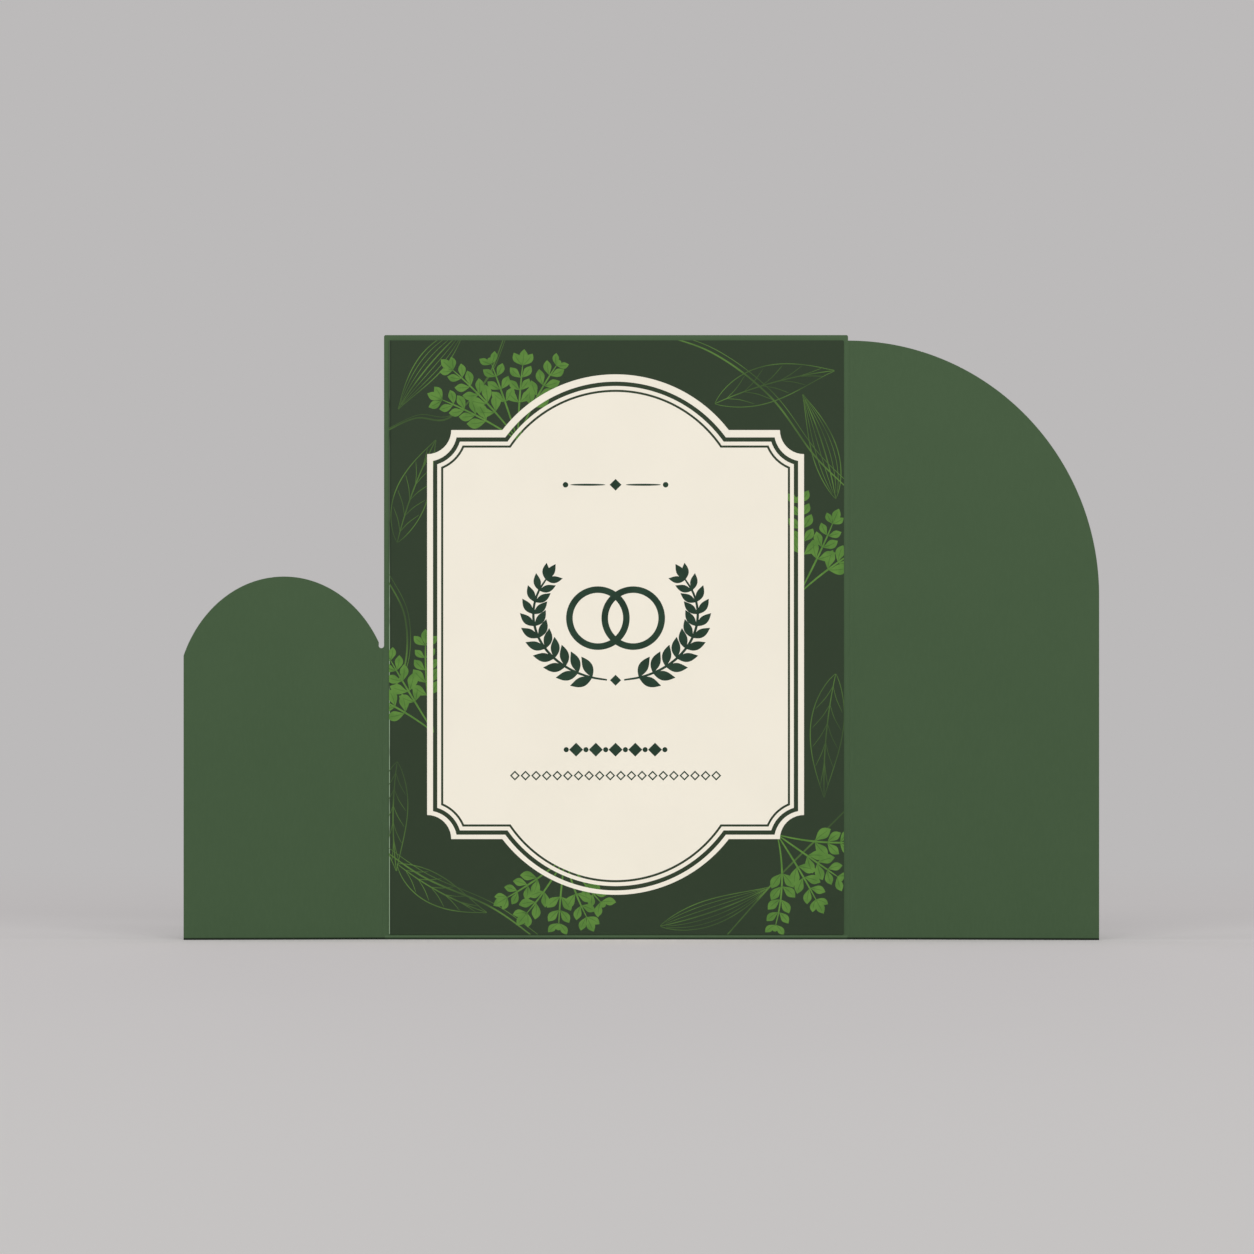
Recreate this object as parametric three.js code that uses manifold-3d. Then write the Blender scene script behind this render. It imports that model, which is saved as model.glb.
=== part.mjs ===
// A gate-fold wedding card that stands open on its lower edge, in millimetres, with +Z up.
//
// The cover is one die-cut sheet: a centre panel, a narrow left flap with an arched top and a wide
// right flap with a quarter-round top. Two creases join the flaps to the panel, and both flaps lean
// a little forward, which is what keeps the card on its edge. A printed card is glued to the front
// of the panel. The front faces -Y, and the origin is the middle of the panel's lower edge, halfway
// through the sheet.

import * as THREE from 'three';
import { mergeVertices } from 'three/addons/utils/BufferGeometryUtils.js';
import Module from 'manifold-3d';

const wasm = await Module();
wasm.setup();

// Cover sheet
const sheetThickness = 0.5;
const foldDegrees = 12;

// Centre panel, from one cut side edge to the other
const panelWidth = 127;
const panelHeight = 165.4;
const panelCornerRadius = 0.5;

// Creases, pressed in from the back so that a low bead stands on the front
const creaseSetback = 0.75;
const creaseWidth = 1;
const creaseGroove = 0.14;
const creaseBead = 0.09;

// Left flap, from the panel's cut edge to its own, with an arch that its outer edge cuts off
const leftFlapWidth = 55.8;
const archTop = 99.3;
const archRise = 34.6;
const archOverrun = 2.2;
const notchBottom = 79.7;

// Right flap, measured the same way, with a top that is one quarter of a circle of that radius
const rightFlapWidth = 69.9;
const rightFlapDrop = 1.5;

// Printed card on the front of the panel, which shows as a thin border on all four sides
const insertThickness = 0.5;
const insertCornerRadius = 0.4;
const borderLeft = 1.37;
const borderRight = 1.13;
const borderTop = 1.45;
const borderBottom = 1.35;

// Smoothness: steps along a crease, and segments on a flap's curve and on a small corner
const creaseSteps = 8;
const flapCurveSegments = 40;
const cornerSegments = 5;

// Derived values
const fold = THREE.MathUtils.degToRad(foldDegrees);
const halfSheet = sheetThickness / 2;
const panelEdge = panelWidth / 2;
const creaseLine = panelEdge + creaseSetback;
const clear = panelWidth / 10;
const insertWidth = panelWidth - borderLeft - borderRight;
const insertHeight = panelHeight - borderTop - borderBottom;

const LEFT = -1;
const RIGHT = 1;

function solidFrom(geometry) {
  const bare = geometry.clone();
  bare.deleteAttribute('normal');
  bare.deleteAttribute('uv');
  const merged = mergeVertices(bare, 1e-5);
  const vertProperties = new Float32Array(merged.attributes.position.array);
  const triVerts = new Uint32Array(merged.index.array);
  return new wasm.Manifold(new wasm.Mesh({ numProp: 3, vertProperties, triVerts }));
}

function geometryFrom(solid) {
  const mesh = solid.getMesh();
  const geometry = new THREE.BufferGeometry();
  geometry.setAttribute('position', new THREE.BufferAttribute(mesh.vertProperties, 3));
  geometry.setIndex(new THREE.BufferAttribute(mesh.triVerts, 1));
  geometry.computeVertexNormals();
  return geometry;
}

// One side of the sheet's plan, from the panel's end of the crease to the flap's outer edge.
// The crease turns the sheet forward along an arc. The groove thins it from the back, and the bead
// thickens it at the front, both most at the crease's middle.
function sideOfPlan(side, flapWidth) {
  const bendRadius = creaseWidth / fold;
  const tangent = bendRadius * Math.tan(fold / 2);
  const front = [];
  const back = [];
  for (let step = 0; step <= creaseSteps; step += 1) {
    const along = step / creaseSteps;
    const turned = fold * along;
    const pressed = Math.sin(Math.PI * along) ** 2;
    const x = creaseLine - tangent + bendRadius * Math.sin(turned);
    const y = -bendRadius * (1 - Math.cos(turned));
    const towardFront = new THREE.Vector2(-Math.sin(turned), -Math.cos(turned));
    const middle = new THREE.Vector2(x, y);
    front.push(middle.clone().addScaledVector(towardFront, halfSheet + creaseBead * pressed));
    back.push(middle.clone().addScaledVector(towardFront, creaseGroove * pressed - halfSheet));
  }
  const outward = new THREE.Vector2(Math.cos(fold), -Math.sin(fold));
  const rest = flapWidth - creaseSetback - tangent;
  front.push(front[creaseSteps].clone().addScaledVector(outward, rest));
  back.push(back[creaseSteps].clone().addScaledVector(outward, rest));
  for (const point of [...front, ...back]) point.x *= side;
  return { front, back };
}

// The whole sheet before it is cut to shape: its plan, drawn upward to the panel's height
function foldedSheet() {
  const left = sideOfPlan(LEFT, leftFlapWidth);
  const right = sideOfPlan(RIGHT, rightFlapWidth);
  const outline = [...left.front.reverse(), ...right.front, ...right.back.reverse(), ...left.back];
  return new THREE.ExtrudeGeometry(new THREE.Shape(outline), {
    depth: panelHeight,
    bevelEnabled: false,
  });
}

// A cutting tool: an outline drawn sideways and up, pushed through the sheet from front to back,
// then turned about the vertical and set at the line that it is measured from
function cutter(outline, segments, turn, place) {
  const geometry = new THREE.ExtrudeGeometry(outline, {
    depth: 2 * clear,
    curveSegments: segments,
    bevelEnabled: false,
  });
  geometry.translate(0, 0, -clear);
  geometry.rotateX(Math.PI / 2);
  geometry.rotateZ(turn);
  geometry.translate(place, 0, 0);
  return solidFrom(geometry);
}

// Trims the panel's side edge and rounds its top corner, from a given height upward
function panelEdgeCutter(side, fromHeight) {
  const outline = new THREE.Shape();
  const outer = creaseLine + creaseSetback / 2;
  const cornerX = panelEdge - panelCornerRadius;
  const cornerZ = panelHeight - panelCornerRadius;
  outline.moveTo(side * outer, fromHeight);
  outline.lineTo(side * panelEdge, fromHeight);
  outline.lineTo(side * panelEdge, cornerZ);
  const edgeAngle = side === RIGHT ? 0 : Math.PI;
  outline.absarc(side * cornerX, cornerZ, panelCornerRadius, edgeAngle, Math.PI / 2, side === LEFT);
  outline.lineTo(side * cornerX, panelHeight + clear);
  outline.lineTo(side * outer, panelHeight + clear);
  return cutter(outline, cornerSegments, 0, 0);
}

// Cuts the left flap's arch, down to the notch beside the panel
function archCutter() {
  const halfFlap = leftFlapWidth / 2;
  const outerEdge = leftFlapWidth - creaseSetback;
  const middle = halfFlap - creaseSetback;
  const reach = halfFlap + archOverrun;
  const centreZ = archTop - archRise;
  const angleAt = (fromCrease) => Math.acos((fromCrease - middle) / reach);
  const outline = new THREE.Shape();
  const slotFloor = notchBottom + creaseSetback;
  outline.moveTo(creaseSetback / 2, panelHeight + clear);
  outline.lineTo(creaseSetback / 2, slotFloor);
  outline.lineTo(-creaseSetback, slotFloor);
  const start = angleAt(creaseSetback);
  const end = angleAt(outerEdge);
  outline.absellipse(-middle, centreZ, reach, archRise, Math.PI - start, Math.PI - end, false);
  outline.lineTo(-outerEdge - clear, centreZ + archRise * Math.sin(end));
  outline.lineTo(-outerEdge - clear, panelHeight + clear);
  return cutter(outline, flapCurveSegments, fold, -creaseLine);
}

// Drills the round end of the notch, centred on the left crease
function notchDrill() {
  const drill = new THREE.CylinderGeometry(creaseSetback, creaseSetback, 2 * clear, 8 * cornerSegments);
  drill.rotateZ(fold / 2);
  drill.translate(-creaseLine, 0, notchBottom + creaseSetback);
  return solidFrom(drill);
}

// Cuts the right flap's quarter circle, which is swung about a point on the panel's cut edge
function quarterRoundCutter() {
  const flapTop = panelHeight - rightFlapDrop;
  const centreZ = flapTop - rightFlapWidth;
  const angleAtCrease = Math.acos(creaseSetback / rightFlapWidth);
  const outline = new THREE.Shape();
  outline.moveTo(-creaseSetback / 2, panelHeight + clear);
  outline.lineTo(-creaseSetback / 2, flapTop);
  outline.absarc(-creaseSetback, centreZ, rightFlapWidth, angleAtCrease, 0, true);
  outline.lineTo(rightFlapWidth + clear, centreZ);
  outline.lineTo(rightFlapWidth + clear, panelHeight + clear);
  return cutter(outline, flapCurveSegments, -fold, creaseLine);
}

function coverGeometry() {
  const cuts = [
    panelEdgeCutter(LEFT, notchBottom + creaseSetback),
    archCutter(),
    notchDrill(),
    panelEdgeCutter(RIGHT, panelHeight - rightFlapDrop),
    quarterRoundCutter(),
  ];
  let sheet = solidFrom(foldedSheet());
  for (const cut of cuts) sheet = sheet.subtract(cut);
  return geometryFrom(sheet);
}

// The printed card: a sheet with slightly softened corners, drawn upright
function insertGeometry() {
  const halfWidth = insertWidth / 2;
  const cornerX = halfWidth - insertCornerRadius;
  const cornerZ = insertHeight - insertCornerRadius;
  const quarter = Math.PI / 2;
  const outline = new THREE.Shape();
  outline.absarc(cornerX, insertCornerRadius, insertCornerRadius, -quarter, 0, false);
  outline.absarc(cornerX, cornerZ, insertCornerRadius, 0, quarter, false);
  outline.absarc(-cornerX, cornerZ, insertCornerRadius, quarter, 2 * quarter, false);
  outline.absarc(-cornerX, insertCornerRadius, insertCornerRadius, 2 * quarter, 3 * quarter, false);
  const geometry = new THREE.ExtrudeGeometry(outline, {
    depth: insertThickness,
    curveSegments: cornerSegments,
    bevelEnabled: false,
  });
  geometry.rotateX(Math.PI / 2);
  return geometry;
}

const coverCard = new THREE.MeshStandardMaterial({ color: 0x475a41, roughness: 0.9, metalness: 0 });
const printedCard = new THREE.MeshStandardMaterial({ color: 0x364231, roughness: 0.8, metalness: 0 });

const cover = new THREE.Mesh(coverGeometry(), coverCard);
cover.name = 'cover';

const insert = new THREE.Mesh(insertGeometry(), printedCard);
insert.name = 'insert';
insert.position.set((borderLeft - borderRight) / 2, -halfSheet, borderBottom);

const group = new THREE.Group();
group.add(cover, insert);

export default group;
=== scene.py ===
# %% [markdown]
# # A gate-fold wedding card
#
# The card is two sheets. The cover is one die-cut sheet of green card with a centre panel, a
# narrow arched flap and a wide quarter-round flap. The insert is a printed card that is glued to
# the front of the panel. Both are loaded as finished solids, so this lesson is about what paper
# goods live by: the fibre of the card, its paler cut edges, and crisp print.

# %% Load the finished solids
import math
import random

import bpy
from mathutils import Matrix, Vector
from mathutils.geometry import delaunay_2d_cdt


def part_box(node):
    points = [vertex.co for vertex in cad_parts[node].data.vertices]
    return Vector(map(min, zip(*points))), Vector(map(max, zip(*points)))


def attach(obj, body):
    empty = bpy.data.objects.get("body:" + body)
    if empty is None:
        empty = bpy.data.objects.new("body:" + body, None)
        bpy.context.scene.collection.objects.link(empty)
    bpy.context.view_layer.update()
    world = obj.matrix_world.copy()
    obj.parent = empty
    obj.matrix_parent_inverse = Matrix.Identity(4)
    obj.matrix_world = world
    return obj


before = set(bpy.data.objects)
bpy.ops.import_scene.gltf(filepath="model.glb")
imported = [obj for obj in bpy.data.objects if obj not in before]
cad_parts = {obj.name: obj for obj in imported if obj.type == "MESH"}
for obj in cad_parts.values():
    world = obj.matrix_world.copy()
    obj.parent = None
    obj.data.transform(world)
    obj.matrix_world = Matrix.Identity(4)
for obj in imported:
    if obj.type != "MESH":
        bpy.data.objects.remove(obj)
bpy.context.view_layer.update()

MM = 0.001
scene = bpy.context.scene
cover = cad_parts["cover"]
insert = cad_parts["insert"]
print("pieces in the frame:", sorted(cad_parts))

# %% [markdown]
# Places are worked out from the two sheets' own boxes, so that the print sits on the insert
# wherever that is. Heights of the ink films are counted from the insert's front face.

# %% Measure the two sheets
insert_low, insert_high = (Vector(corner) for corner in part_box("insert"))
cover_low, cover_high = (Vector(corner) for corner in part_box("cover"))
insert_middle = (insert_low + insert_high) / 2
insert_half_width = (insert_high.x - insert_low.x) / 2
insert_half_height = (insert_high.z - insert_low.z) / 2
print_face = insert_low.y
print("insert in mm:", round(insert_half_width * 2 / MM, 2), round(insert_half_height * 2 / MM, 2))

# %% [markdown]
# ## Camera
#
# A card is a flat thing, and it looks best through a long lens from straight ahead, which keeps
# its upright edges parallel. The picture is square, so one number, the width that it takes in at
# the card, sets the focal length. The camera looks level, at about half the card's height.

# %% Set the camera
CAMERA_DISTANCE = 6000 * MM
VIEW_WIDTH = 343.2 * MM
VIEW_MIDDLE_X = 3.0 * MM
VIEW_MIDDLE_Z = 85.5 * MM
SENSOR_MM = 36

camera_data = bpy.data.cameras.new("card_camera")
camera_data.sensor_width = SENSOR_MM
camera_data.lens = SENSOR_MM * CAMERA_DISTANCE / VIEW_WIDTH
camera_data.clip_end = 100
camera = bpy.data.objects.new("card_camera", camera_data)
camera.location = (VIEW_MIDDLE_X, print_face - CAMERA_DISTANCE, VIEW_MIDDLE_Z)
camera.rotation_euler = (math.radians(90), 0, 0)
scene.collection.objects.link(camera)
scene.camera = camera
scene.view_settings.view_transform = "Standard"
print("lens", round(camera_data.lens), "mm")

# %% [markdown]
# ## Shader sums as Python sums
#
# A finish is a set of sums over the surface. Typed node by node they are hard to read, so one
# small class wraps a socket: adding, subtracting or multiplying two of them adds the Math nodes.
# Colours go through Mix nodes, because a Math node would turn a colour grey.

# %% A socket that can be reckoned with
class Wire:
    """One output socket in a material, with arithmetic that adds nodes."""

    def __init__(self, tree, socket=None):
        self.tree = tree
        self.socket = socket

    def node(self, kind, settings=None, inputs=None, output=0):
        """Adds a node: its settings first, then the values or links of its sockets."""
        made = self.tree.nodes.new(kind)
        for name, value in (settings or {}).items():
            setattr(made, name, value)
        for name, value in (inputs or {}).items():
            if isinstance(value, Wire):
                self.tree.links.new(value.socket, made.inputs[name])
            else:
                made.inputs[name].default_value = value
        return Wire(self.tree, made.outputs[output])

    def math(self, operation, *values):
        """One Math node on this value and any others."""
        inputs = dict(enumerate((self, *values)))
        return self.node("ShaderNodeMath", {"operation": operation}, inputs)

    def __add__(self, other):
        return self.math("ADD", other)

    def __mul__(self, other):
        return self.math("MULTIPLY", other)

    def __sub__(self, other):
        return self.math("SUBTRACT", other)

    def __rsub__(self, other):
        return (self * -1) + other

    def __abs__(self):
        return self.math("ABSOLUTE")

    __radd__ = __add__
    __rmul__ = __mul__

    def between(self, low, high):
        """0 at low and 1 at high, smooth in between."""
        settings = {"interpolation_type": "SMOOTHSTEP"}
        inputs = {"Value": self, "From Min": low, "From Max": high}
        return self.node("ShaderNodeMapRange", settings, inputs)

    def tint(self, below, above):
        """A colour over another: only below where this value is 0, only above where it is 1."""
        inputs = {0: self, 6: below, 7: above}
        return self.node("ShaderNodeMix", {"data_type": "RGBA"}, inputs, output=2)


# %% [markdown]
# Colours are usually written in the 0 to 255 steps that a screen uses, while shaders want linear
# light. One helper turns the first into the second.

# %% Screen colours to linear light
def colour(red, green, blue):
    """A linear colour from screen steps of 0 to 255."""
    steps = [step / 255 for step in (red, green, blue)]
    light = [s / 12.92 if s <= 0.04045 else ((s + 0.055) / 1.055) ** 2.4 for s in steps]
    return (*light, 1.0)


COVER_GREEN = colour(70, 91, 64)
COVER_GREEN_DEEP = colour(63, 84, 58)
COVER_GREEN_RIM = colour(75, 97, 69)
COVER_EDGE = colour(86, 108, 80)
FOOT_SHADE = colour(20, 29, 19)
GROUND_GREEN = colour(45, 58, 41)
GROUND_GREEN_TOP = colour(49, 62, 45)
GROUND_SHADE = colour(33, 44, 31)
CARD_CORE = colour(132, 153, 126)
CREAM = colour(237, 231, 216)
CREAM_SHADE = colour(235, 229, 214)
LEAF_GREEN = colour(93, 134, 60)
LEAF_GREEN_DEEP = colour(80, 120, 53)
RIB_GREEN = colour(66, 101, 46)
LINE_GREEN = colour(88, 124, 58)
LINE_GREEN_FAINT = colour(56, 76, 45)
INK_GREEN = colour(33, 54, 41)
INK_GREEN_THIN = colour(41, 64, 49)


# %% A new material
SHEEN = 0.12


def new_finish(name, sheen):
    """A material with its shader's fixed settings, as (material, shader, place on the object)."""
    material = bpy.data.materials.new(name)
    material.use_nodes = True
    shader = material.node_tree.nodes["Principled BSDF"]
    shader.inputs["Specular IOR Level"].default_value = sheen
    place = Wire(material.node_tree).node("ShaderNodeTexCoord", output="Object")
    return material, shader, place


def feed(shader, **wires):
    """Links wires to a shader's sockets, named with _ for a space."""
    for name, wire in wires.items():
        wire.tree.links.new(wire.socket, shader.inputs[name.replace("_", " ")])


# %% [markdown]
# ## Card stock
#
# Uncoated card shows three things. Close up there are fibres, a millimetre or two long, that
# catch the light. Over a centimetre or two the dye is a little uneven. Where the sheet was cut,
# its core shows, paler than the face. The fibres are noise that is stretched one way, since
# fibres lie along the direction in which the sheet was made.

# %% Fibres and clouds of the sheet
FIBRES_PER_METRE = 1500
FIBRE_STRETCH = 0.28
CLOUDS_PER_METRE = 55


def grain(place, per_metre, stretch=1.0, detail=3.0, seed=0.0):
    """Noise over the sheet, stretched along the up direction."""
    stretched = place.node("ShaderNodeMapping", None, {0: place, "Scale": (1.0, 1.0, stretch)})
    inputs = {"Vector": stretched, "Scale": per_metre, "Detail": detail, "W": seed}
    return place.node("ShaderNodeTexNoise", {"noise_dimensions": "4D"}, inputs)


def paper_bump(place, height, strength, fibres):
    """A normal that follows the fibres, height in metres."""
    inputs = {"Strength": strength, "Distance": height, "Height": fibres}
    return place.node("ShaderNodeBump", None, inputs)


def axis(place, letter):
    """One coordinate of a place or a direction."""
    return place.node("ShaderNodeSeparateXYZ", None, {0: place}, output=letter)


def cut_edge(place):
    """1 on a sheet's cut edges and 0 on its faces, which look forward or back."""
    normal = place.node("ShaderNodeTexCoord", output="Normal")
    return 1 - abs(axis(normal, "Y")).between(0.5, 0.8)


# %% [markdown]
# The cover is dyed mid green, and painted shade makes it a little deeper towards the foot. The
# border that shows round the insert is painted paler, most of all at the top, as painted light.
# Along the foot the edge is painted dark as the shadow where the card meets the floor, and on the
# panel a hair above it a painted highlight runs along the edge.
#
# Each of these is a mask from 0 to 1, made from a place on the card, that lays one colour over
# the last. The strengths below say how much of the upper colour shows where the mask is full.

# %% Finish of the cover
BORDER_WIDTH = 1.25 * MM
BORDER_FADE = 0.4 * MM
PANEL_HALF_WIDTH = insert_half_width + BORDER_WIDTH
FOOT_SHADOW_HEIGHT = 0.55 * MM
LIP_HEIGHT = 0.85 * MM
CLOUD_SHARE = 0.4
BORDER_LIGHT_STRENGTH = 0.5
FLECK_STRENGTH = 0.08
HIGHLIGHT_STRENGTH = 0.5
FOOT_SHADOW_STRENGTH = 0.95


def cover_finish():
    """Matt green card."""
    material, shader, place = new_finish("cover_card", SHEEN)
    fibres = grain(place, FIBRES_PER_METRE, FIBRE_STRETCH)
    clouds = grain(place, CLOUDS_PER_METRE, detail=2.0, seed=4.0)
    up = axis(place, "Z")
    height = up.between(cover_low.z, cover_high.z)
    # The clouds are the dye's own unevenness. The height share is painted shade, darker towards the
    # foot.
    dye_and_shade = (clouds * CLOUD_SHARE + height * (1 - CLOUD_SHARE)).tint(COVER_GREEN_DEEP, COVER_GREEN)
    sideways = abs(axis(place, "X"))
    on_panel = 1 - sideways.between(PANEL_HALF_WIDTH - BORDER_FADE, PANEL_HALF_WIDTH)
    # Painted light: the border round the insert is paler towards the top.
    lit_border = (on_panel * height * BORDER_LIGHT_STRENGTH).tint(dye_and_shade, COVER_GREEN_RIM)
    edged = cut_edge(place).tint(lit_border, COVER_EDGE)
    flecked = (fibres.between(0.35, 0.75) * FLECK_STRENGTH).tint(edged, COVER_EDGE)
    # Painted highlight: a pale line on the panel a hair above the foot.
    lip = (1 - abs(up - LIP_HEIGHT).between(0.1 * MM, 0.3 * MM)) * on_panel
    highlighted = (lip * HIGHLIGHT_STRENGTH).tint(flecked, COVER_EDGE)
    # Painted shadow: the foot is dark where the card meets the floor, a little less on the panel.
    foot = 1 - up.between(FOOT_SHADOW_HEIGHT * 0.7, FOOT_SHADOW_HEIGHT * (1.25 - on_panel * 0.25))
    foot_shaded = (foot * (FOOT_SHADOW_STRENGTH - on_panel * 0.2)).tint(highlighted, FOOT_SHADE)
    feed(shader, Base_Color=foot_shaded, Roughness=fibres * 0.12 + 0.80)
    feed(shader, Normal=paper_bump(place, 0.03 * MM, 0.35, fibres))
    return material


cover.data.materials.clear()
cover.data.materials.append(cover_finish())
print("cover finished in", cover.data.materials[0].name)

# %% [markdown]
# The insert is smoother card with a dark green printed ground. Its cut edge isn't printed, so the
# card's core shows there. On the face along the left edge, a pale hairline in the core's colour is
# a painted highlight, most of all in the lower part, and beside it the ground is painted darker as
# a line of shade. Painted light also makes the ground a little lighter towards the top.

# %% Finish of the insert's ground
EDGE_HIGHLIGHT_WIDTH = 0.28 * MM
DARK_EDGE = 0.8 * MM
DARK_STRENGTH = 0.8
PATCHES_PER_METRE = 90


def insert_finish():
    """Dark printed ground with a pale cut edge, painted light and shade along its left edge, and
    painted light towards the top.
    """
    material, shader, place = new_finish("printed_card", SHEEN)
    fibres = grain(place, FIBRES_PER_METRE * 1.3, 0.5)
    clouds = grain(place, CLOUDS_PER_METRE, detail=2.0, seed=9.0)
    up = axis(place, "Z").between(insert_low.z, insert_high.z)
    # Half of this mix is painted light: the ground is lighter towards the top.
    ground = (clouds * 0.5 + up * 0.5).tint(GROUND_GREEN, GROUND_GREEN_TOP)
    from_left = axis(place, "X") - insert_low.x
    # Painted shade: a dark line on the ground just inside the highlight along the left edge.
    shade_beside = 1 - from_left.between(EDGE_HIGHLIGHT_WIDTH, DARK_EDGE)
    shaded = (shade_beside * DARK_STRENGTH).tint(ground, GROUND_SHADE)
    # Painted highlight: a pale hairline in the core's colour along the left edge, broken in patches
    # and strongest low down.
    patches = grain(place, PATCHES_PER_METRE, detail=2.0, seed=5.0).between(0.30, 0.44)
    lower_part = 0.9 - up.between(0.55, 0.75) * 0.7
    edge_highlight = (1 - from_left.between(EDGE_HIGHLIGHT_WIDTH * 0.8, EDGE_HIGHLIGHT_WIDTH)) * patches * lower_part
    highlighted_edge = edge_highlight.tint(shaded, CARD_CORE)
    edged = cut_edge(place).tint(highlighted_edge, CARD_CORE)
    feed(shader, Base_Color=edged, Roughness=fibres * 0.10 + 0.70)
    feed(shader, Normal=paper_bump(place, 0.02 * MM, 0.25, fibres))
    return material


insert.data.materials.clear()
insert.data.materials.append(insert_finish())
print("insert finished in", insert.data.materials[0].name)


# %% [markdown]
# ## Print as thin films
#
# Print could be a picture wrapped on the card, but fine lines go soft in a picture when one comes
# close. Here each ink is a film a few hundredths of a millimetre thick, so its outline stays
# crisp at any distance. A film starts as strips: lists of point pairs, one on each side of a
# stroke or a leaf, in millimetres from the middle of the insert, sideways and up.
#
# Strips cross and overlap, and solids that overlap are untidy. So all the quads of all strips
# are laid into one flat triangulation, which knows for each triangle which quads it lies in. The
# triangles that lie in at least one quad, and in the insert's own outline, are the print. A quad
# with no area is passed over, since it has no inside to tell.

# %% Flat union of strips
MERGE_DISTANCE = 0.0005
SMALLEST_AREA = 1e-6


def signed_area(quad):
    """The area of a quad, below 0 where its corners run with the clock."""
    return sum(a[0] * b[1] - b[0] * a[1] for a, b in zip(quad, [*quad[1:], quad[0]])) / 2


def flat_union(strips):
    """One flat sheet from strips that may overlap, as (points, triangles)."""
    right = insert_half_width / MM
    top = insert_half_height / MM
    points = [(-right, -top), (right, -top), (right, top), (-right, top)]
    quads = [[0, 1, 2, 3]]
    for strip in strips:
        for (a, b), (c, d) in zip(strip, strip[1:]):
            quad = [tuple(corner) for corner in (a, b, d, c)]
            area = signed_area(quad)
            if abs(area) > SMALLEST_AREA:
                quads.append(list(range(len(points), len(points) + 4)))
                points += quad if area > 0 else quad[::-1]
    flat, _, triangles, _, _, owners = delaunay_2d_cdt(
        [Vector(point) for point in points], [], quads, 0, MERGE_DISTANCE
    )
    kept = [corners for corners, inside in zip(triangles, owners) if 0 in inside and len(inside) > 1]
    return flat, kept


# %% [markdown]
# The flat sheet gets its thickness by a second copy in front of it, and by a rim of quads along
# the edges that only one triangle uses. That makes a closed solid. Its back is sunk a hundredth
# of a millimetre into what carries it, so that no two faces lie in one plane.

# %% From strips to a film
SUNK = 0.01


def film(name, strips, bottom, top, finish):
    """One thin solid made of strips. bottom and top are millimetres in front of the insert."""
    flat, triangles = flat_union(strips)
    used = sorted({corner for triangle in triangles for corner in triangle})
    number = {corner: index for index, corner in enumerate(used)}
    triangles = [[number[corner] for corner in triangle] for triangle in triangles]
    corners = []
    for height in (bottom - SUNK, top):
        y = print_face - height * MM
        for corner in used:
            x, z = flat[corner]
            corners.append((insert_middle.x + x * MM, y, insert_middle.z + z * MM))
    count = len(used)
    back = [(c, b, a) for a, b, c in triangles]
    front = [(a + count, b + count, c + count) for a, b, c in triangles]
    edges = {(a, b) for t in triangles for a, b in zip(t, (t[1], t[2], t[0]))}
    rim = [(a, b, b + count, a + count) for a, b in sorted(edges) if (b, a) not in edges]
    mesh = bpy.data.meshes.new(name)
    mesh.from_pydata(corners, [], [*back, *front, *rim])
    mesh.materials.append(finish)
    piece = bpy.data.objects.new(name, mesh)
    scene.collection.objects.link(piece)
    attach(piece, "root")
    print(name, len(mesh.polygons), "faces")


# %% [markdown]
# ## Strokes and leaves
#
# A stroke follows a smooth curve through a few chosen points and tapers at its ends, as a pen
# line does. A leaf is a strip too: its two sides swell away from a midrib and meet at the tip.

# %% A smooth curve through a few points
def smooth(points, steps=10):
    """Points of a curve that passes through the given ones."""
    points = [Vector(point) for point in points]
    padded = [2 * points[0] - points[1], *points, 2 * points[-1] - points[-2]]
    curve = []
    for before, start, end, after in zip(padded, padded[1:], padded[2:], padded[3:]):
        for step in range(steps):
            t = step / steps
            pull = (end - before) * t + (2 * before - 5 * start + 4 * end - after) * t * t
            curve.append(start + (pull + (3 * start - before - 3 * end + after) * t**3) / 2)
    return [*curve, points[-1]]


# %% Strips along a curve
def across(curve, index):
    """The direction square to a curve at one of its points."""
    start = curve[max(index - 1, 0)]
    end = curve[min(index + 1, len(curve) - 1)]
    along = (end - start).normalized()
    return Vector((-along.y, along.x))


def strip_along(curve, half_width):
    """A strip on a curve. half_width takes how far along a point is, from 0 to 1."""
    pairs = []
    for index, point in enumerate(curve):
        reach = across(curve, index) * half_width(index / (len(curve) - 1))
        pairs.append((point - reach, point + reach))
    return pairs


def stroke(points, width, steps=10, thin_end=0.35):
    """A pen line through points. thin_end is the share of the width that its ends have."""

    def half_width(along):
        swell = math.sin(math.pi * along) ** 0.5
        return width / 2 * (thin_end + (1 - thin_end) * swell)

    return strip_along(smooth(points, steps), half_width)


def walk(start, angle, length, bend, steps):
    """Points of a steady curve. angle and bend are in degrees, from straight right."""
    points = [Vector(start)]
    heading = math.radians(angle)
    for _ in range(steps):
        points.append(points[-1] + Vector((math.cos(heading), math.sin(heading))) * (length / steps))
        heading += math.radians(bend) / steps
    return points


def leaf(base, angle, length, width, bend=0.0, shoulder=0.8, steps=10):
    """A filled leaf. A shoulder over 1 puts its widest place nearer to the tip."""

    def half_width(along):
        return max(math.sin(math.pi * along**shoulder), 0.03) * width / 2

    return strip_along(walk(base, angle, length, bend, steps), half_width)


# %% [markdown]
# ## Bright sprigs
#
# A sprig is a short curved stem with round-tipped leaves in pairs, smaller towards its tip, and
# one leaf or a berry at the end. Several sprigs fan out of one root behind the plaque. The small
# irregularities come from a seeded generator, so that every run draws the same plant.

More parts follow.
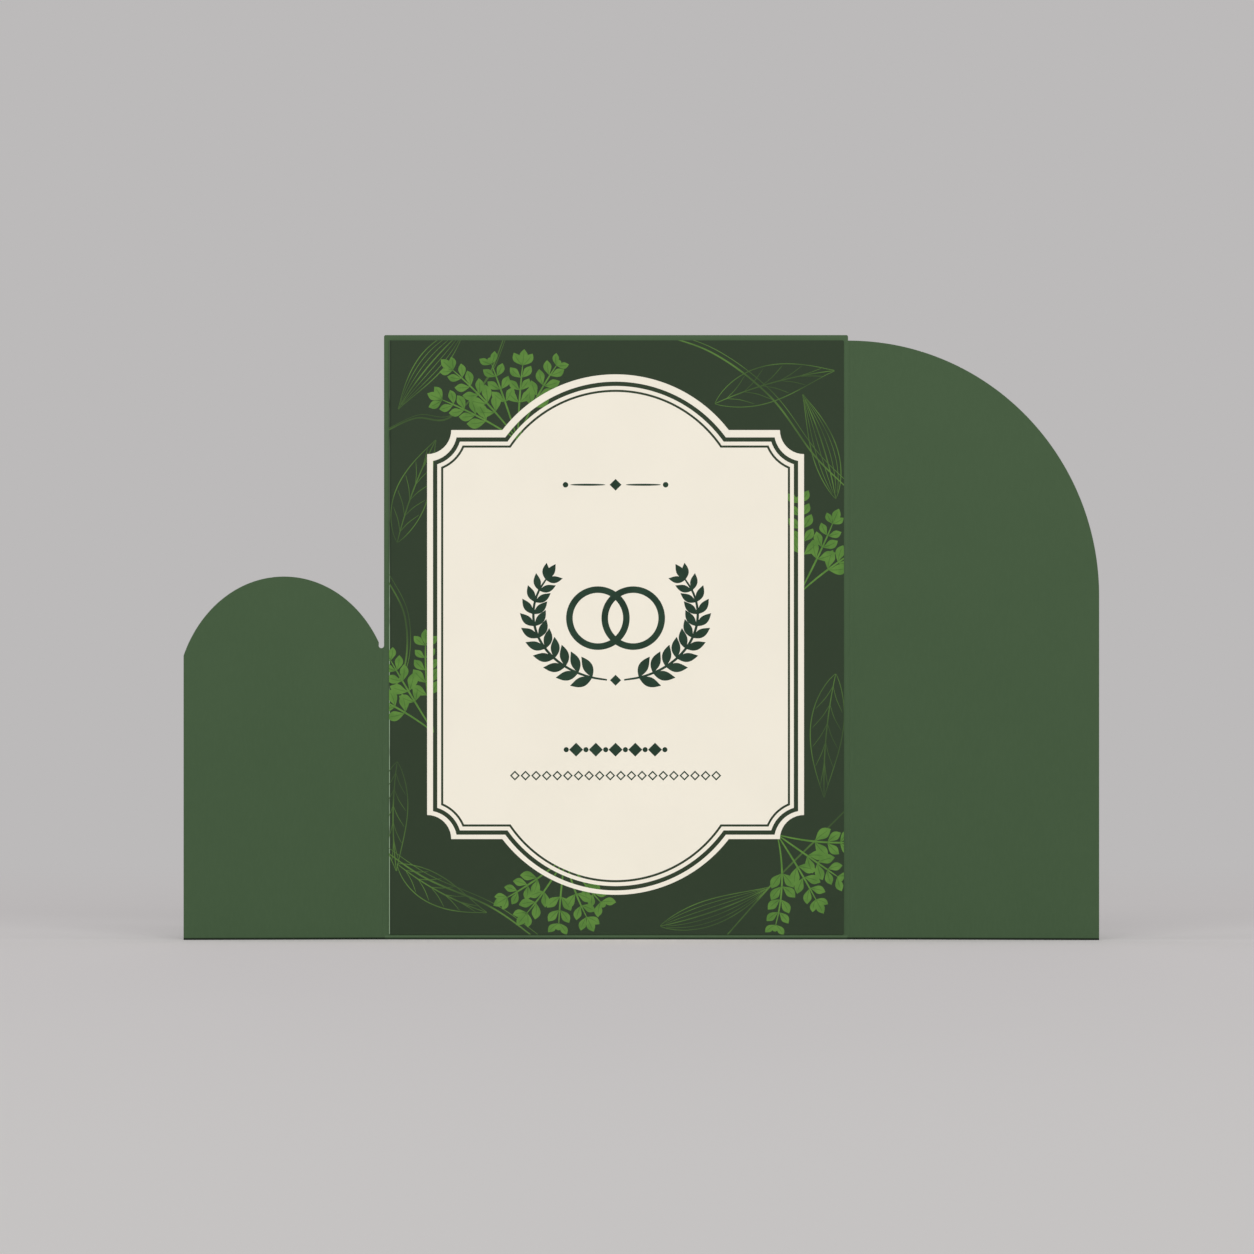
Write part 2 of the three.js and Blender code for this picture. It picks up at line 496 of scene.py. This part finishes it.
# %% Beads
def bead(centre, radius, steps=16):
    """A filled dot, as a strip from left to right."""
    pairs = []
    for step in range(steps + 1):
        turn = math.pi * step / steps
        x = centre[0] - radius * math.cos(turn)
        reach = radius * max(math.sin(turn), 0.02)
        pairs.append((Vector((x, centre[1] - reach)), Vector((x, centre[1] + reach))))
    return pairs


# %% One sprig and a fan of them
LEAF_LENGTH = 5.6
LEAF_SHAPE = 0.52
LEAF_CURL = 22
LEAF_TURNS = (42, 62)
NODE_SPACING = 3.4
BARE_NODES = 3
STEM_WIDTH = 0.5
RIB_WIDTH = 0.24
BERRY_RADIUS = 0.85
TIP_LEAF_CHANCE = 0.6
FAN_BEND = 36


def leaf_and_rib(base, angle, size, bend):
    """A round-tipped leaf and the line of its rib."""
    blade = leaf(base, angle, size, size * LEAF_SHAPE, bend, shoulder=1.35)
    rib = stroke(walk(base, angle, size, bend, 10)[:9], RIB_WIDTH, steps=1)
    return blade, rib


def sprig(root, angle, length, bend, dice):
    """Strips of one sprig, as (leaves and stem, ribs)."""
    nodes = max(round(length / NODE_SPACING), BARE_NODES)
    stem = walk(root, angle, length, bend, nodes)
    blades = [stroke(stem, STEM_WIDTH, steps=4)]
    ribs = []
    for index in range(BARE_NODES, nodes + 1):
        way = math.degrees(math.atan2(*(stem[index] - stem[index - 1]).yx))
        size = LEAF_LENGTH * (1.15 - 0.45 * index / nodes) * dice.uniform(0.85, 1.1)
        for side in (-1, 1):
            turn = way + side * dice.uniform(*LEAF_TURNS)
            blade, rib = leaf_and_rib(stem[index], turn, size, -side * LEAF_CURL)
            blades.append(blade)
            ribs.append(rib)
    end = stem[-1]
    if dice.random() < TIP_LEAF_CHANCE:
        blade, rib = leaf_and_rib(end, way, LEAF_LENGTH * 0.8, 0)
        blades.append(blade)
        ribs.append(rib)
    else:
        blades.append(bead(end + (end - stem[-2]) * 0.3, BERRY_RADIUS))
    return blades, ribs


def fan(root, angle, opening, count, length, dice):
    """Several sprigs out of one root, as (leaves and stems, ribs)."""
    blades = []
    ribs = []
    for index in range(count):
        share = index / (count - 1) - 0.5
        reach = length * dice.uniform(0.8, 1.05)
        bend = share * FAN_BEND + dice.uniform(-10, 10)
        more_blades, more_ribs = sprig(root, angle + share * opening, reach, bend, dice)
        blades += more_blades
        ribs += more_ribs
    return blades, ribs


# %% Place the fans
dice = random.Random(12)
sprigs = []
leaf_ribs = []
for fan_root, fan_angle, fan_opening, fan_count, fan_length in (
    ((-27, 54), 108, 78, 5, 25),
    ((50, 12), 62, 40, 3, 24),
    ((-50, -26), 122, 42, 3, 23),
    ((44, -54), -46, 66, 4, 24),
    ((-14, -60), 262, 84, 5, 19),
):
    fan_blades, fan_ribs = fan(fan_root, fan_angle, fan_opening, fan_count, fan_length, dice)
    sprigs += fan_blades
    leaf_ribs += fan_ribs
print("sprig strips:", len(sprigs), "and ribs:", len(leaf_ribs))


# %% [markdown]
# ## Line drawings
#
# Behind the bright sprigs lie large leaves that are only drawn: an outline, a midrib and veins,
# each a fine pen line, with long stems that sweep between them. Broad leaves have veins that
# branch off the rib, and long blades have veins beside it.

# %% A drawn leaf
PEN = 0.27
MIDRIB_PEN = PEN * 1.3
VEIN_PEN = PEN * 0.7
VEIN_REACH = 0.88


def drawn_leaf(base, angle, length, width, bend, branched):
    """Strips of a leaf in outline, with its midrib and veins."""
    body = leaf(base, angle, length, width, bend, steps=20)
    left = [pair[0] for pair in body]
    right = [pair[1] for pair in body]
    rib = [(a + b) / 2 for a, b in body]
    strips = [stroke(side, PEN, steps=2) for side in (left, right)]
    strips.append(stroke(rib, MIDRIB_PEN, steps=2))
    for side in (left, right):
        if branched:
            for start in range(2, len(rib) - 5, 3):
                end = start + 4
                tip = rib[end].lerp(side[end], VEIN_REACH)
                bow = rib[start].lerp(tip, 0.5).lerp(rib[start + 2], 0.2)
                strips.append(stroke([rib[start], bow, tip], VEIN_PEN, steps=5))
        else:
            for share in (0.35, 0.7):
                vein = [middle.lerp(edge, share) for middle, edge in zip(rib, side)]
                strips.append(stroke(vein[1:-1], VEIN_PEN, steps=2))
    return strips


# %% Place the drawn leaves
lines = []
for base, angle, length, width, bend, branched in (
    ((27, 64), 24, 34, 10, -18, True),
    ((60, 38), 100, 30, 7, 16, False),
    ((-60, 26), 76, 30, 9, -14, True),
    ((-42, 84), 222, 28, 7, 18, False),
    ((-60, -34), 262, 30, 8, 16, True),
    ((60, -10), 258, 34, 9, 14, True),
    ((12, -79), 12, 32, 7, 16, False),
    ((-60, -62), 322, 28, 8, 20, True),
):
    lines += drawn_leaf(base, angle, length, width, bend, branched)
print("strips of drawn leaves:", len(lines))

# %% Place the sweeping stems
STEM_PATHS = (
    [(-64, 56), (-55, 60), (-46, 60), (-36, 70), (-30, 84)],
    [(-64, 18), (-58, 6), (-58, -8), (-64, -18)],
    [(8, 84), (26, 78), (42, 66), (54, 50), (64, 40)],
    [(64, -46), (56, -54), (44, -66), (28, -84)],
    [(-64, -58), (-52, -66), (-34, -74), (-20, -84)],
)
STEM_PEN = PEN * 1.8
BESIDE_PEN = PEN * 0.8
BESIDE_GAP = 0.9
for path in STEM_PATHS:
    lines.append(stroke(path, STEM_PEN))
    lines.append(stroke([(x + BESIDE_GAP, z + BESIDE_GAP) for x, z in path], BESIDE_PEN))
print("line strips:", len(lines))

# %% [markdown]
# ## Inks
#
# Each ink is nearly matt. Its colour is a little clouded, as solid ink on card is, and the
# fibres below come through in the gloss.

# %% Ink finishes
def ink_finish(name, colour_a, colour_b, per_metre, roughness=0.70):
    """A thin layer of ink on card, clouded between two near colours."""
    material, shader, place = new_finish(name, SHEEN)
    fibres = grain(place, FIBRES_PER_METRE * 1.3, 0.5, seed=2.0)
    clouds = grain(place, per_metre, detail=2.0, seed=6.0).between(0.35, 0.65)
    mixed = (clouds * 0.85 + fibres * 0.15).tint(colour_a, colour_b)
    feed(shader, Base_Color=mixed, Roughness=fibres * 0.10 + roughness)
    feed(shader, Normal=paper_bump(place, 0.02 * MM, 0.2, fibres))
    return material


LINE_TOP = 0.02
SPRIG_TOP = 0.03
RIB_TOP = 0.036
leaf_ink = ink_finish("leaf_ink", LEAF_GREEN_DEEP, LEAF_GREEN, 300)
rib_ink = ink_finish("rib_ink", RIB_GREEN, LEAF_GREEN_DEEP, 300)
line_ink = ink_finish("line_ink", LINE_GREEN_FAINT, LINE_GREEN, 60)
film("leaf_lines", lines, 0.0, LINE_TOP, line_ink)
film("leaf_sprigs", sprigs, 0.0, SPRIG_TOP, leaf_ink)
film("leaf_ribs", leaf_ribs, SPRIG_TOP, RIB_TOP, rib_ink)


# %% [markdown]
# ## Plaque
#
# The plaque is the traditional outline of a cartouche: straight sides, corners scooped out by
# quarter circles, and a shallow arc above and below. Its lines run parallel to it. Moving every
# part inward by the same distance keeps them parallel: a side shifts, a scoop grows about the
# same centre, and an arc shrinks about its own.

# %% Outline of the plaque at any distance in from its edge
PLAQUE_HALF_WIDTH = 51.57
PLAQUE_HALF_HEIGHT = 55.97
SCOOP_RADIUS = 6.6
CROWN_HALF_WIDTH = 30.98
CROWN_RISE = 15.25
PLAQUE_ACROSS = -0.25
PLAQUE_LIFT = 0.78
INNER_DROP = 0.4
CROWN_RADIUS = (CROWN_HALF_WIDTH**2 + CROWN_RISE**2) / (2 * CROWN_RISE)
CROWN_CENTRE = PLAQUE_HALF_HEIGHT + CROWN_RISE - CROWN_RADIUS
CROWN_STEPS = 28
SCOOP_STEPS = 10


def plaque_quarter(inset):
    """Points from the crown's top to the middle of the right side."""
    side = PLAQUE_HALF_WIDTH - inset
    shoulder = PLAQUE_HALF_HEIGHT - inset
    radius = CROWN_RADIUS - inset
    foot = math.acos((shoulder - CROWN_CENTRE) / radius)
    points = []
    for step in range(CROWN_STEPS + 1):
        turn = foot * step / CROWN_STEPS
        points.append((radius * math.sin(turn), CROWN_CENTRE + radius * math.cos(turn)))
    scoop = SCOOP_RADIUS + inset
    start = math.asin(inset / scoop)
    for step in range(SCOOP_STEPS + 1):
        turn = start + (math.pi / 2 - 2 * start) * step / SCOOP_STEPS
        x = PLAQUE_HALF_WIDTH - scoop * math.cos(turn)
        points.append((x, PLAQUE_HALF_HEIGHT - scoop * math.sin(turn)))
    return [*points, (side, 0.0)]


def plaque_middle(inset):
    """The middle of an outline. The plaque's own edge is printed a hair higher than the rest."""
    return Vector((PLAQUE_ACROSS, PLAQUE_LIFT - (INNER_DROP if inset else 0.0)))


def plaque_outline(inset):
    """All points of the plaque's outline, clockwise from the crown's top."""
    middle = plaque_middle(inset)
    quarter = plaque_quarter(inset)
    lower_right = [(x, -z) for x, z in reversed(quarter)][1:]
    right = [*quarter, *lower_right]
    left = [(-x, z) for x, z in reversed(right)][1:-1]
    return [middle + Vector(point) for point in (*right, *left)]


# %% [markdown]
# A band of the plaque is the ring between two such outlines. The field inside is filled row by
# row: each point on the right is joined to its mirror image on the left.

# %% Bands and field
def band(outer_inset, inner_inset):
    """A closed strip between two outlines."""
    pairs = list(zip(plaque_outline(outer_inset), plaque_outline(inner_inset)))
    return [*pairs, pairs[0]]


def field(inset):
    """The plaque's inside as one strip from top to bottom."""
    middle = plaque_middle(inset)
    quarter = plaque_quarter(inset)
    right = [*quarter, *[(x, -z) for x, z in reversed(quarter)][1:]]
    return [(middle + Vector((-x, z)), middle + Vector((x, z))) for x, z in right]


PLAQUE_TOP = 0.045
BORDER_INSETS = (0.0, 1.6)
LINE_INSETS = (2.78, 3.82)
FIELD_INSET = 4.42
cream_ink = ink_finish("cream_ink", CREAM_SHADE, CREAM, 40, roughness=0.74)
film("plaque_border", [band(*BORDER_INSETS)], 0.0, PLAQUE_TOP, cream_ink)
film("plaque_line", [band(*LINE_INSETS)], 0.0, PLAQUE_TOP, cream_ink)
film("plaque_field", [field(FIELD_INSET)], 0.0, PLAQUE_TOP, cream_ink)

# %% [markdown]
# ## Ornaments
#
# The plaque's ornaments sit on its middle line, heaviest in the middle: a rule with a diamond at
# the top, two linked rings in a laurel wreath, and below them a row of diamonds and a narrow
# lattice. They are drawn from the same strips as the leaves, since a ring is a strip round a
# circle and a diamond is a strip of three rows.

# %% Rings, diamonds and rules
def ring(centre, radius, width, steps=72):
    """A strip round a circle."""
    pairs = []
    for step in range(steps + 1):
        turn = 2 * math.pi * step / steps
        way = Vector((math.cos(turn), math.sin(turn)))
        middle = Vector(centre)
        pairs.append((middle + way * (radius - width / 2), middle + way * (radius + width / 2)))
    return pairs


def diamond(centre, half_width, half_height):
    """A filled diamond."""
    middle = Vector(centre)
    rows = ((-half_width, 0.02), (0, half_height), (half_width, 0.02))
    return [(middle + Vector((x, -z)), middle + Vector((x, z))) for x, z in rows]


def open_diamond(centre, half_width, half_height, line):
    """The outline of a diamond."""
    middle = Vector(centre)
    ways = ((half_width, 0), (0, half_height), (-half_width, 0), (0, -half_height), (half_width, 0))
    inner = 1 - line / min(half_width, half_height)
    return [(middle + Vector(way) * inner, middle + Vector(way)) for way in ways]


def rule(centre, length, width):
    """A straight line that thins to its ends."""
    x, z = centre
    points = [(x - length / 2 + length * step / 8, z) for step in range(9)]
    return stroke(points, width, steps=2, thin_end=0.2)


# %% Line at the top
ornaments = []
TOP_LINE_Z = 41.0
TOP_DIAMOND = 1.6
RULE_LENGTH = 9.5
RULE_WIDTH = 0.55
RULE_X = 7.6
END_BEAD_X = 13.7
END_BEAD_RADIUS = 0.75
ornaments.append(diamond((0, TOP_LINE_Z), TOP_DIAMOND, TOP_DIAMOND))
for side in (-1, 1):
    ornaments.append(rule((side * RULE_X, TOP_LINE_Z), RULE_LENGTH, RULE_WIDTH))
    ornaments.append(bead((side * END_BEAD_X, TOP_LINE_Z), END_BEAD_RADIUS))
print("strips of the top line:", len(ornaments))

# %% Rings in a laurel wreath
RINGS_Z = 4.5
RING_RADIUS = 7.8
RING_WIDTH = 1.8
RING_X = RING_RADIUS * 0.62
WREATH_HALF_WIDTH = 22.5
WREATH_HALF_HEIGHT = 18.0
WREATH_Z = 5.5
WREATH_LEAVES = 11
WREATH_START = -84
WREATH_SWEEP = 116
BRANCH_WIDTH = 0.7
LAUREL_LENGTH = 6.6
LAUREL_SHRINK = 2.0
LAUREL_SHAPE = 0.42
LAUREL_SHOULDER = 0.95
LAUREL_TIP = (5.0, 2.2)
LAUREL_TURNS = (-34, 62)
KNOT_DIAMOND = 1.5
for side in (-1, 1):
    ornaments.append(ring((side * RING_X, RINGS_Z), RING_RADIUS, RING_WIDTH))
    branch = []
    for step in range(WREATH_LEAVES + 1):
        turn = math.radians(WREATH_START + WREATH_SWEEP * step / WREATH_LEAVES)
        x = side * WREATH_HALF_WIDTH * math.cos(turn)
        branch.append(Vector((x, WREATH_Z + WREATH_HALF_HEIGHT * math.sin(turn))))
    ornaments.append(stroke(branch, BRANCH_WIDTH, steps=4, thin_end=0.6))
    for index in range(1, WREATH_LEAVES + 1):
        way = math.degrees(math.atan2(*(branch[index] - branch[index - 1]).yx))
        size = LAUREL_LENGTH - LAUREL_SHRINK * index / WREATH_LEAVES
        width = size * LAUREL_SHAPE
        for turn in LAUREL_TURNS:
            out = turn * side
            ornaments.append(leaf(branch[index], way + out, size, width, -out * 0.3, LAUREL_SHOULDER))
    ornaments.append(leaf(branch[-1], way, *LAUREL_TIP, shoulder=LAUREL_SHOULDER))
ornaments.append(diamond((0, WREATH_Z - WREATH_HALF_HEIGHT), KNOT_DIAMOND, KNOT_DIAMOND))
print("strips with the wreath:", len(ornaments))

# %% Row of diamonds and lattice below
ROW_Z = -31.5
ROW_STEP = 5.4
ROW_DIAMOND = 1.9
ROW_BEAD_RADIUS = 0.7
LATTICE_Z = -38.6
LATTICE_STEP = 2.9
LATTICE_COUNT = 20
LATTICE_HALF_WIDTH = LATTICE_STEP / 2 - 0.1
LATTICE_HALF_HEIGHT = 1.35
LATTICE_LINE = 0.5
for index in range(-2, 3):
    ornaments.append(diamond((index * ROW_STEP, ROW_Z), ROW_DIAMOND, ROW_DIAMOND))
    for side in (-1, 1):
        ornaments.append(bead(((index + side / 2) * ROW_STEP, ROW_Z), ROW_BEAD_RADIUS))
for index in range(LATTICE_COUNT):
    centre = ((index - (LATTICE_COUNT - 1) / 2) * LATTICE_STEP, LATTICE_Z)
    ornaments.append(open_diamond(centre, LATTICE_HALF_WIDTH, LATTICE_HALF_HEIGHT, LATTICE_LINE))
print("ornament strips:", len(ornaments))

# %% Print the ornaments
ORNAMENT_TOP = PLAQUE_TOP + 0.015
plaque_centre = plaque_middle(0.0)
placed = [[(a + plaque_centre, b + plaque_centre) for a, b in strip] for strip in ornaments]
dark_ink = ink_finish("dark_ink", INK_GREEN, INK_GREEN_THIN, 200)
film("plaque_ornaments", placed, PLAQUE_TOP, ORNAMENT_TOP, dark_ink)

# %% [markdown]
# ## Studio
#
# The card stands on a wide sheet of pale grey paper. Behind the card the paper fades into the
# backdrop, which is the even sky as the camera sees it. With no wall there, the card can also be
# looked at from behind.
#
# Two soft lamps stand in front, low and a little to either side, so that a faint shadow shows
# beside the foot of each flap. The shadow beside the left flap comes from the right lamp. That
# flap is the lower one, so this lamp is lower and stronger than the other. The sky fills the rest,
# and colours come out as chosen. A weaker lamp stands behind the card, so low that it hardly
# reaches the floor, and keeps the card's back from being lost in shade.

# %% Floor
FLOOR_HALF_WIDTH = 6.5
FADE_START = 0.7
FADE_END = 2.0
FAR_FADE_START = 3.5
FAR_FADE_END = 6.2
FLOOR_FRONT_GREY = colour(247, 244, 243)
FLOOR_GREY = colour(243, 239, 239)
FLOOR_BACK_GREY = colour(234, 230, 230)
MOTTLE_PER_METRE = 14
MOTTLE_STRENGTH = 0.1


def floor_finish():
    """Pale grey paper that fades out far from the card, painted lighter in front and darker behind
    the card.
    """
    material, shader, place = new_finish("floor_paper", 0.0)
    away = place.node("ShaderNodeVectorMath", {"operation": "LENGTH"}, {0: place}, output=1)
    behind = axis(place, "Y")
    mottle = grain(place, MOTTLE_PER_METRE, seed=3.0) * MOTTLE_STRENGTH
    # Painted light: the paper is lighter towards the front.
    front_grey = (behind.between(-2.7, 0.0) + mottle).tint(FLOOR_FRONT_GREY, FLOOR_GREY)
    # Painted shade: the paper is darker behind the card.
    grey = behind.between(0.05, 0.6).tint(front_grey, FLOOR_BACK_GREY)
    far = away.between(FAR_FADE_START, FAR_FADE_END)
    fade = (1 - behind.between(FADE_START, FADE_END)) * (1 - far)
    feed(shader, Base_Color=grey, Alpha=fade)
    shader.inputs["Roughness"].default_value = 0.95
    return material


floor_mesh = bpy.data.meshes.new("floor")
reach = FLOOR_HALF_WIDTH
floor_corners = [(-reach, -reach, 0), (reach, -reach, 0), (reach, reach, 0), (-reach, reach, 0)]
floor_mesh.from_pydata(floor_corners, [], [(0, 1, 2, 3)])
floor_mesh.materials.append(floor_finish())
floor = bpy.data.objects.new("floor", floor_mesh)
scene.collection.objects.link(floor)
print("floor in metres:", 2 * FLOOR_HALF_WIDTH)

# %% Lamps
def lamp(name, strength, softness, rise, turn):
    """A far lamp. softness is its width in degrees, and rise and turn say where it stands."""
    data = bpy.data.lights.new(name, "SUN")
    data.energy = strength
    data.angle = math.radians(softness)
    made = bpy.data.objects.new(name, data)
    made.rotation_euler = (math.radians(90 - rise), 0, math.radians(turn))
    scene.collection.objects.link(made)


lamp("front_lamp_left", strength=0.76, softness=14, rise=18, turn=-6)
lamp("front_lamp_right", strength=1.07, softness=15, rise=14, turn=6)
lamp("back_lamp", strength=0.6, softness=6, rise=4, turn=180)

# %% Sky and backdrop
SKY_STRENGTH = 0.435
BACKDROP_GREY = colour(188, 186, 186)

sky = bpy.data.worlds.new("even_sky")
sky.use_nodes = True
scene.world = sky
air = Wire(sky.node_tree)
light = air.node("ShaderNodeBackground", None, {"Color": (1, 1, 1, 1), "Strength": SKY_STRENGTH})
seen = air.node("ShaderNodeBackground", None, {"Color": BACKDROP_GREY, "Strength": 1.0})
looked_at = air.node("ShaderNodeLightPath", output="Is Camera Ray")
mirrored = air.node("ShaderNodeLightPath", output="Is Glossy Ray")
seen_through = air.node("ShaderNodeLightPath", output="Is Transmission Ray")
shows = looked_at + mirrored + seen_through
both = air.node("ShaderNodeMixShader", None, {0: shows, 1: light, 2: seen})
sky.node_tree.links.new(both.socket, sky.node_tree.nodes["World Output"].inputs["Surface"])
print("sky strength:", SKY_STRENGTH)
